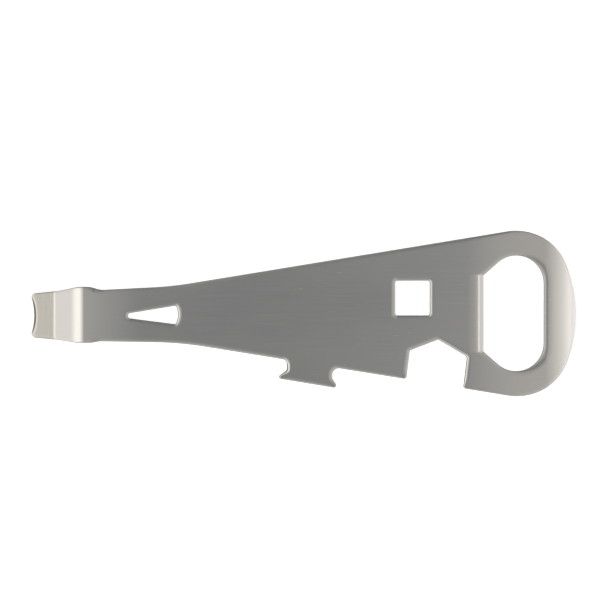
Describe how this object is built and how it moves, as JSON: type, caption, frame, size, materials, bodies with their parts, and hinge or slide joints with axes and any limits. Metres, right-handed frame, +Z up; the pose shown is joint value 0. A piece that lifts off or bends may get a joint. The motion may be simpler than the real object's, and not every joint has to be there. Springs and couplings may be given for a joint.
{
  "type": "painters multi tool",
  "caption": "Flat steel painter's multi tool: bent lid-lifter tip, nail-puller slot, edge hooks, square drive hole, spanner notch and bottle-opener loop.",
  "frame": {"origin": "middle of the tool's bounding box at its base, on the surface the tool lies on", "axes": "+X along the tool from the lid-lifter tip to the opener loop, +Y across the blade away from the spanner notch, +Z up, square to the blade"},
  "size_m": [0.2012, 0.061, 0.0081],
  "materials": {
    "brushed_steel": "stainless steel brushed lengthwise, edges tumbled smooth"
  },
  "bodies": {
    "root": {"tool_body": "brushed_steel"}
  },
  "joints": []
}
